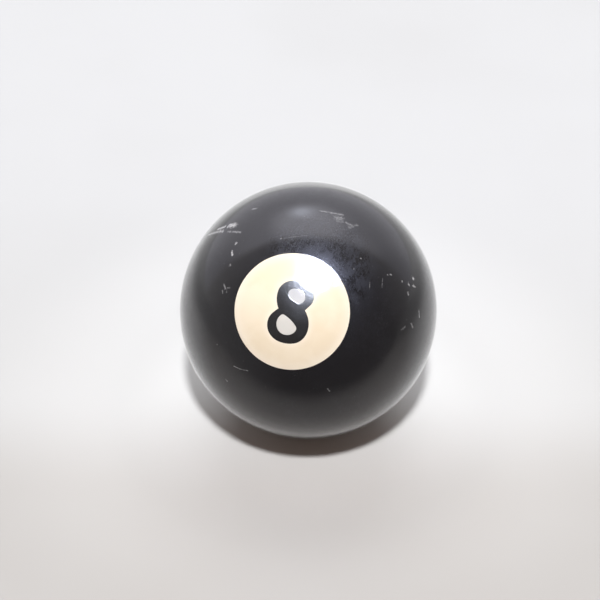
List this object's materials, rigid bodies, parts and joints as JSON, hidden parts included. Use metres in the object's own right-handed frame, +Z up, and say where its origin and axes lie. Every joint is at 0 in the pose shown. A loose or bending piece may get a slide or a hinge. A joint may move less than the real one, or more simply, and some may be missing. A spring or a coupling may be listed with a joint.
{
  "type": "numbered pool ball",
  "caption": "Solid black pool ball with a round ivory number disc let into each of two opposite poles, each disc carrying a black figure 8.",
  "frame": {"origin": "centre of the ball", "axes": "+Z up, away from the surface that the ball rests on; the front number looks towards -Y and 39.35 degrees upwards, the back number is at the opposite pole"},
  "size_m": [0.0572, 0.0572, 0.0572],
  "materials": {
    "black_resin": "polished cast phenolic resin, scuffed and finely scratched by play",
    "ivory_resin": "polished cast phenolic resin, aged to a warm ivory",
    "figure_black": "polished cast phenolic resin",
    "figure_ivory": "polished cast phenolic resin, paler and cooler than the disc"
  },
  "bodies": {
    "root": {"ball_body": "black_resin", "front_number_disc": "ivory_resin", "front_numeral": "figure_black", "front_upper_counter": "figure_ivory", "front_lower_counter": "figure_ivory", "back_number_disc": "ivory_resin", "back_numeral": "figure_black", "back_upper_counter": "figure_ivory", "back_lower_counter": "figure_ivory"}
  },
  "joints": []
}
